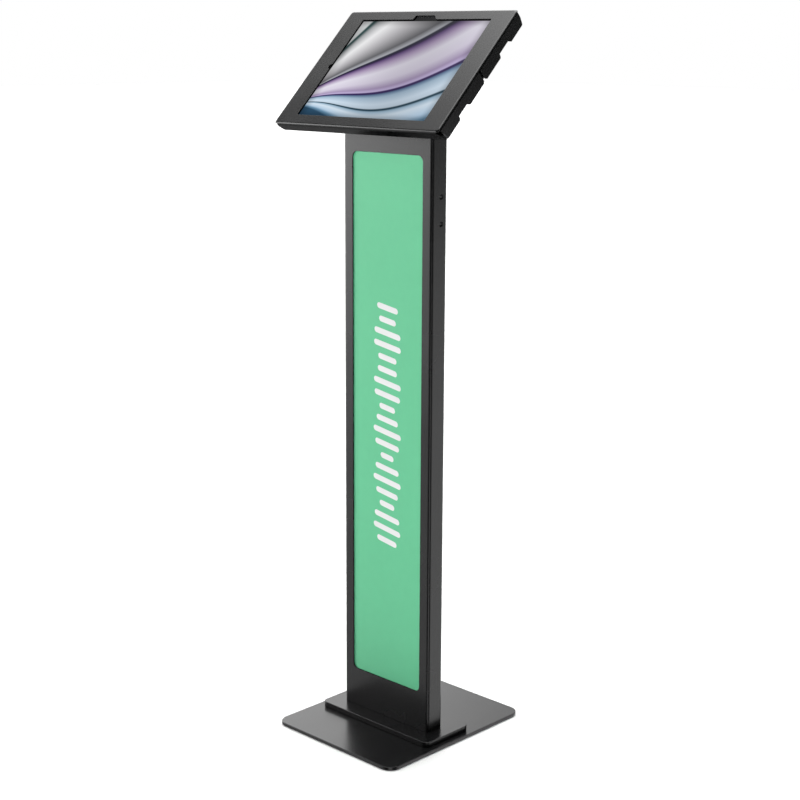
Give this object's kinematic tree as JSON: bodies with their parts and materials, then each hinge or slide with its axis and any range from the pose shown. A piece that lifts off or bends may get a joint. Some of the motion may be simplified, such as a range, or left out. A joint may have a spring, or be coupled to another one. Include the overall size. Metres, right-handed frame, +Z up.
{
  "type": "touchscreen kiosk",
  "caption": "Floor-standing touchscreen kiosk: tablet in a hinged, lockable steel enclosure at 45 degrees on a slim column with a graphic panel and a flat floor plate.",
  "frame": {"origin": "middle of the footprint, on the floor", "axes": "+Z up, -Y towards the person using it, +X to that person's right"},
  "size_m": [0.3412, 0.305, 1.1208],
  "materials": {
    "coated_steel": "satin dark-grey powder coat",
    "coated_plate": "smooth satin dark-grey powder coat",
    "green_panel": "matt green printed panel",
    "zinc_steel": "zinc plated, dull",
    "black_steel": "black oxide",
    "lock_chrome": "chrome plated",
    "black_rubber": "matt moulded rubber",
    "black_foam": "closed-cell foam, matt",
    "tablet_aluminium": "fine bead-blasted, anodised",
    "screen_glass": "polished cover glass over a lit display",
    "cell_pouch": "black pouch film",
    "circuit_board": "solder mask"
  },
  "bodies": {
    "stand": {"foot_pad_1": "black_rubber", "foot_pad_2": "black_rubber", "foot_pad_3": "black_rubber", "foot_pad_4": "black_rubber", "column_grommet": "black_rubber", "enclosure_grommet": "black_rubber", "base_plate": "coated_plate", "foot_flange": "coated_plate", "base_bolt_1": "black_steel", "base_bolt_2": "black_steel", "base_bolt_3": "black_steel", "base_bolt_4": "black_steel", "accessory_nut_lower": "black_steel", "accessory_nut_upper": "black_steel", "bracket_screw_left": "black_steel", "bracket_screw_right": "black_steel", "vesa_screw_1": "black_steel", "vesa_screw_2": "black_steel", "vesa_screw_3": "black_steel", "vesa_screw_4": "black_steel", "hinge_leaf_fixed": "black_steel", "column_tube": "coated_steel", "column_cap": "coated_steel", "head_bracket": "coated_steel", "enclosure_back": "coated_steel", "graphic_panel": "green_panel", "panel_rail_left": "zinc_steel", "panel_rail_right": "zinc_steel", "hinge_pin": "zinc_steel", "lock_nut": "zinc_steel", "lock_housing": "lock_chrome", "foam_support": "black_foam", "corner_pad_lower_left": "black_foam", "corner_pad_lower_right": "black_foam", "corner_pad_upper_left": "black_foam", "corner_pad_upper_right": "black_foam", "tablet_housing": "tablet_aluminium", "tablet_screen": "screen_glass", "tablet_cell_left": "cell_pouch", "tablet_cell_right": "cell_pouch", "front_camera": "cell_pouch", "tablet_board": "circuit_board"},
    "cover": {"front_cover": "coated_steel", "hinge_leaf_cover": "black_steel", "lock_catch": "zinc_steel"},
    "lock_plug": {"lock_barrel": "lock_chrome", "lock_cam": "zinc_steel", "cam_screw": "black_steel"},
    "power_key": {"power_button": "tablet_aluminium"},
    "volume_key": {"volume_button": "tablet_aluminium"}
  },
  "joints": [
    {"name": "cover_hinge", "type": "hinge", "parent": "stand", "child": "cover", "pos_m": [0, 0.07539, 1.09953], "axis": [-1, 0, 0], "range_deg": [0, 110]},
    {"name": "lock_turn", "type": "hinge", "parent": "stand", "child": "lock_plug", "pos_m": [0.146, -0.04892, 0.98399], "axis": [0, -0.7071, 0.7071], "range_deg": [0, 90]},
    {"name": "power_press", "type": "slide", "parent": "stand", "child": "power_key", "axis": [1, 0, 0], "range_m": [0, 0.0003], "stiffness_N_per_m": 4000},
    {"name": "volume_press", "type": "slide", "parent": "stand", "child": "volume_key", "axis": [0, -0.7071, -0.7071], "range_m": [0, 0.0003], "stiffness_N_per_m": 4000}
  ]
}
